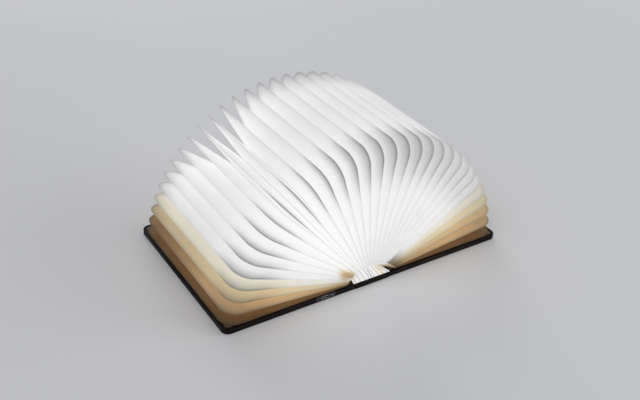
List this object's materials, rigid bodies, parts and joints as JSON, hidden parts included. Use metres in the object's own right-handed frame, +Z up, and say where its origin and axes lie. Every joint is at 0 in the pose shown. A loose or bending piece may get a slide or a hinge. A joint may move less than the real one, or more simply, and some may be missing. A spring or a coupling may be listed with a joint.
{
  "type": "folding book lamp",
  "caption": "Lamp in the form of a book: two thin hinged covers that open to a fan of pleated white paper leaves lit from the spine.",
  "frame": {"origin": "middle of the spine on the table, under the open book", "axes": "+X across the open book towards the right cover, +Y along the spine away from the charging port, +Z up"},
  "size_m": [0.2696, 0.155, 0.1261],
  "materials": {
    "leaf_paper": "translucent white spunbond paper",
    "pleat_paper": "translucent white spunbond paper",
    "root_paper": "white ribbed paper",
    "cover_leather": "dark brown grained leatherette",
    "greyboard": "raw board",
    "lining": "dark brown matt paper",
    "magnet": "nickel plate",
    "aluminium": "satin",
    "circuit_board": "solder resist",
    "lamp": "yellow phosphor",
    "black_plastic": "fine grained",
    "diffuser": "milky",
    "flat_cable": "film",
    "battery_foil": "laminated foil",
    "socket_steel": "tin plate",
    "light_pipe": "clear"
  },
  "bodies": {
    "spine": {"spine_leather": "cover_leather", "spine_board": "greyboard", "hinge_leather_left": "cover_leather", "hinge_leather_right": "cover_leather", "led_housing": "aluminium", "led_board": "circuit_board", "led_chips": "lamp", "lid_sensor": "black_plastic", "led_diffuser": "diffuser", "power_ribbon": "flat_cable", "root_strip_left": "root_paper", "root_strip_right": "root_paper", "pleats_left": "pleat_paper", "pleats_right": "pleat_paper", "page_17": "leaf_paper"},
    "cover_left": {"cover_leather_left": "cover_leather", "cover_board_left": "greyboard", "lining_left": "lining", "magnets_left": "magnet", "battery": "battery_foil", "charge_board": "circuit_board", "usb_bezel": "black_plastic", "usb_socket": "socket_steel", "charge_light": "light_pipe"},
    "cover_right": {"cover_leather_right": "cover_leather", "cover_board_right": "greyboard", "lining_right": "lining", "magnets_right": "magnet"},
    "leaf_16": {"page_16": "leaf_paper"},
    "leaf_15": {"page_15": "leaf_paper"},
    "leaf_14": {"page_14": "leaf_paper"},
    "leaf_13": {"page_13": "leaf_paper"},
    "leaf_12": {"page_12": "leaf_paper"},
    "leaf_11": {"page_11": "leaf_paper"},
    "leaf_10": {"page_10": "leaf_paper"},
    "leaf_09": {"page_09": "leaf_paper"},
    "leaf_08": {"page_08": "leaf_paper"},
    "leaf_07": {"page_07": "leaf_paper"},
    "leaf_06": {"page_06": "leaf_paper"},
    "leaf_05": {"page_05": "leaf_paper"},
    "leaf_04": {"page_04": "leaf_paper"},
    "leaf_03": {"page_03": "leaf_paper"},
    "leaf_02": {"page_02": "leaf_paper"},
    "leaf_01": {"page_01": "leaf_paper"},
    "leaf_18": {"page_18": "leaf_paper"},
    "leaf_19": {"page_19": "leaf_paper"},
    "leaf_20": {"page_20": "leaf_paper"},
    "leaf_21": {"page_21": "leaf_paper"},
    "leaf_22": {"page_22": "leaf_paper"},
    "leaf_23": {"page_23": "leaf_paper"},
    "leaf_24": {"page_24": "leaf_paper"},
    "leaf_25": {"page_25": "leaf_paper"},
    "leaf_26": {"page_26": "leaf_paper"},
    "leaf_27": {"page_27": "leaf_paper"},
    "leaf_28": {"page_28": "leaf_paper"},
    "leaf_29": {"page_29": "leaf_paper"},
    "leaf_30": {"page_30": "leaf_paper"},
    "leaf_31": {"page_31": "leaf_paper"},
    "leaf_32": {"page_32": "leaf_paper"}
  },
  "joints": [
    {"name": "left_cover_hinge", "type": "hinge", "parent": "spine", "child": "cover_left", "pos_m": [-0.0125, 0, 0], "axis": [0, 1, 0], "range_deg": [-95.5, 90], "deforming": ["pleats_left", "root_strip_left", "hinge_leather_left", "power_ribbon"]},
    {"name": "right_cover_hinge", "type": "hinge", "parent": "spine", "child": "cover_right", "pos_m": [0.0125, 0, 0], "axis": [0, -1, 0], "range_deg": [-95.5, 90], "deforming": ["pleats_right", "root_strip_right", "hinge_leather_right"]},
    {"name": "leaf_16_fold", "type": "hinge", "parent": "spine", "child": "leaf_16", "pos_m": [-0.00731, 0, 0.00204], "axis": [0, 1, 0], "range_deg": [-6.38, 6.01]},
    {"name": "leaf_15_fold", "type": "hinge", "parent": "leaf_16", "child": "leaf_15", "pos_m": [-0.00723, 0, 0.00145], "axis": [0, 1, 0], "range_deg": [-6.37, 6]},
    {"name": "leaf_14_fold", "type": "hinge", "parent": "leaf_15", "child": "leaf_14", "pos_m": [-0.00714, 0, 0.00103], "axis": [0, 1, 0], "range_deg": [-6.35, 5.99]},
    {"name": "leaf_13_fold", "type": "hinge", "parent": "leaf_14", "child": "leaf_13", "pos_m": [-0.00707, 0, 0.00077], "axis": [0, 1, 0], "range_deg": [-6.33, 5.96]},
    {"name": "leaf_12_fold", "type": "hinge", "parent": "leaf_13", "child": "leaf_12", "pos_m": [-0.00727, 0, 0.00058], "axis": [0, 1, 0], "range_deg": [-6.29, 5.93]},
    {"name": "leaf_11_fold", "type": "hinge", "parent": "leaf_12", "child": "leaf_11", "pos_m": [-0.00773, 0, 0.00038], "axis": [0, 1, 0], "range_deg": [-6.25, 5.89]},
    {"name": "leaf_10_fold", "type": "hinge", "parent": "leaf_11", "child": "leaf_10", "pos_m": [-0.00827, 0, 0.00024], "axis": [0, 1, 0], "range_deg": [-6.2, 5.84]},
    {"name": "leaf_09_fold", "type": "hinge", "parent": "leaf_10", "child": "leaf_09", "pos_m": [-0.00891, 0, 0.00016], "axis": [0, 1, 0], "range_deg": [-6.14, 5.79]},
    {"name": "leaf_08_fold", "type": "hinge", "parent": "leaf_09", "child": "leaf_08", "pos_m": [-0.01027, 0, -0.00059], "axis": [0, 1, 0], "range_deg": [-6.07, 5.73]},
    {"name": "leaf_07_fold", "type": "hinge", "parent": "leaf_08", "child": "leaf_07", "pos_m": [-0.01217, 0, -0.00223], "axis": [0, 1, 0], "range_deg": [-6, 5.66]},
    {"name": "leaf_06_fold", "type": "hinge", "parent": "leaf_07", "child": "leaf_06", "pos_m": [-0.01392, 0, -0.00409], "axis": [0, 1, 0], "range_deg": [-5.91, 5.58]},
    {"name": "leaf_05_fold", "type": "hinge", "parent": "leaf_06", "child": "leaf_05", "pos_m": [-0.01549, 0, -0.00613], "axis": [0, 1, 0], "range_deg": [-5.82, 5.49]},
    {"name": "leaf_04_fold", "type": "hinge", "parent": "leaf_05", "child": "leaf_04", "pos_m": [-0.01657, 0, -0.00742], "axis": [0, 1, 0], "range_deg": [-5.72, 5.39]},
    {"name": "leaf_03_fold", "type": "hinge", "parent": "leaf_04", "child": "leaf_03", "pos_m": [-0.01739, 0, -0.00779], "axis": [0, 1, 0], "range_deg": [-5.61, 5.29]},
    {"name": "leaf_02_fold", "type": "hinge", "parent": "leaf_03", "child": "leaf_02", "pos_m": [-0.01833, 0, -0.00815], "axis": [0, 1, 0], "range_deg": [-5.49, 5.18]},
    {"name": "leaf_01_fold", "type": "hinge", "parent": "leaf_02", "child": "leaf_01", "pos_m": [-0.01941, 0, -0.00852], "axis": [0, 1, 0], "range_deg": [-5.37, 5.06]},
    {"name": "leaf_18_fold", "type": "hinge", "parent": "spine", "child": "leaf_18", "pos_m": [0.00511, 0, 0.00233], "axis": [0, -1, 0], "range_deg": [-6.48, 6.11]},
    {"name": "leaf_19_fold", "type": "hinge", "parent": "leaf_18", "child": "leaf_19", "pos_m": [0.00621, 0, 0.00178], "axis": [0, -1, 0], "range_deg": [-6.48, 6.11]},
    {"name": "leaf_20_fold", "type": "hinge", "parent": "leaf_19", "child": "leaf_20", "pos_m": [0.00726, 0, 0.00116], "axis": [0, -1, 0], "range_deg": [-6.47, 6.11]},
    {"name": "leaf_21_fold", "type": "hinge", "parent": "leaf_20", "child": "leaf_21", "pos_m": [0.00829, 0, 0.00047], "axis": [0, -1, 0], "range_deg": [-6.47, 6.1]},
    {"name": "leaf_22_fold", "type": "hinge", "parent": "leaf_21", "child": "leaf_22", "pos_m": [0.0085, 0, 0.00014], "axis": [0, -1, 0], "range_deg": [-6.46, 6.09]},
    {"name": "leaf_23_fold", "type": "hinge", "parent": "leaf_22", "child": "leaf_23", "pos_m": [0.00853, 0, 0.00007], "axis": [0, -1, 0], "range_deg": [-6.46, 6.09]},
    {"name": "leaf_24_fold", "type": "hinge", "parent": "leaf_23", "child": "leaf_24", "pos_m": [0.0087, 0, 0.00014], "axis": [0, -1, 0], "range_deg": [-6.44, 6.08]},
    {"name": "leaf_25_fold", "type": "hinge", "parent": "leaf_24", "child": "leaf_25", "pos_m": [0.00904, 0, 0.00034], "axis": [0, -1, 0], "range_deg": [-6.43, 6.07]},
    {"name": "leaf_26_fold", "type": "hinge", "parent": "leaf_25", "child": "leaf_26", "pos_m": [0.01112, 0, -0.00128], "axis": [0, -1, 0], "range_deg": [-6.42, 6.05]},
    {"name": "leaf_27_fold", "type": "hinge", "parent": "leaf_26", "child": "leaf_27", "pos_m": [0.01303, 0, -0.00315], "axis": [0, -1, 0], "range_deg": [-6.4, 6.04]},
    {"name": "leaf_28_fold", "type": "hinge", "parent": "leaf_27", "child": "leaf_28", "pos_m": [0.01472, 0, -0.00523], "axis": [0, -1, 0], "range_deg": [-6.39, 6.02]},
    {"name": "leaf_29_fold", "type": "hinge", "parent": "leaf_28", "child": "leaf_29", "pos_m": [0.016, 0, -0.007], "axis": [0, -1, 0], "range_deg": [-6.37, 6]},
    {"name": "leaf_30_fold", "type": "hinge", "parent": "leaf_29", "child": "leaf_30", "pos_m": [0.01673, 0, -0.00737], "axis": [0, -1, 0], "range_deg": [-6.35, 5.99]},
    {"name": "leaf_31_fold", "type": "hinge", "parent": "leaf_30", "child": "leaf_31", "pos_m": [0.01762, 0, -0.00773], "axis": [0, -1, 0], "range_deg": [-6.33, 5.96]},
    {"name": "leaf_32_fold", "type": "hinge", "parent": "leaf_31", "child": "leaf_32", "pos_m": [0.01866, 0, -0.00811], "axis": [0, -1, 0], "range_deg": [-6.3, 5.94]}
  ],
  "couplings": [
    {"joint": "leaf_16_fold", "follows": "left_cover_hinge", "ratio": 0.066235},
    {"joint": "leaf_15_fold", "follows": "left_cover_hinge", "ratio": 0.066147},
    {"joint": "leaf_14_fold", "follows": "left_cover_hinge", "ratio": 0.065972},
    {"joint": "leaf_13_fold", "follows": "left_cover_hinge", "ratio": 0.065708},
    {"joint": "leaf_12_fold", "follows": "left_cover_hinge", "ratio": 0.065356},
    {"joint": "leaf_11_fold", "follows": "left_cover_hinge", "ratio": 0.064917},
    {"joint": "leaf_10_fold", "follows": "left_cover_hinge", "ratio": 0.06439},
    {"joint": "leaf_09_fold", "follows": "left_cover_hinge", "ratio": 0.063774},
    {"joint": "leaf_08_fold", "follows": "left_cover_hinge", "ratio": 0.063071},
    {"joint": "leaf_07_fold", "follows": "left_cover_hinge", "ratio": 0.06228},
    {"joint": "leaf_06_fold", "follows": "left_cover_hinge", "ratio": 0.061401},
    {"joint": "leaf_05_fold", "follows": "left_cover_hinge", "ratio": 0.060435},
    {"joint": "leaf_04_fold", "follows": "left_cover_hinge", "ratio": 0.05938},
    {"joint": "leaf_03_fold", "follows": "left_cover_hinge", "ratio": 0.058237},
    {"joint": "leaf_02_fold", "follows": "left_cover_hinge", "ratio": 0.057007},
    {"joint": "leaf_01_fold", "follows": "left_cover_hinge", "ratio": 0.055689},
    {"joint": "leaf_18_fold", "follows": "right_cover_hinge", "ratio": 0.06733},
    {"joint": "leaf_19_fold", "follows": "right_cover_hinge", "ratio": 0.067313},
    {"joint": "leaf_20_fold", "follows": "right_cover_hinge", "ratio": 0.067277},
    {"joint": "leaf_21_fold", "follows": "right_cover_hinge", "ratio": 0.067224},
    {"joint": "leaf_22_fold", "follows": "right_cover_hinge", "ratio": 0.067153},
    {"joint": "leaf_23_fold", "follows": "right_cover_hinge", "ratio": 0.067064},
    {"joint": "leaf_24_fold", "follows": "right_cover_hinge", "ratio": 0.066957},
    {"joint": "leaf_25_fold", "follows": "right_cover_hinge", "ratio": 0.066833},
    {"joint": "leaf_26_fold", "follows": "right_cover_hinge", "ratio": 0.06669},
    {"joint": "leaf_27_fold", "follows": "right_cover_hinge", "ratio": 0.06653},
    {"joint": "leaf_28_fold", "follows": "right_cover_hinge", "ratio": 0.066353},
    {"joint": "leaf_29_fold", "follows": "right_cover_hinge", "ratio": 0.066157},
    {"joint": "leaf_30_fold", "follows": "right_cover_hinge", "ratio": 0.065944},
    {"joint": "leaf_31_fold", "follows": "right_cover_hinge", "ratio": 0.065713},
    {"joint": "leaf_32_fold", "follows": "right_cover_hinge", "ratio": 0.065464}
  ]
}
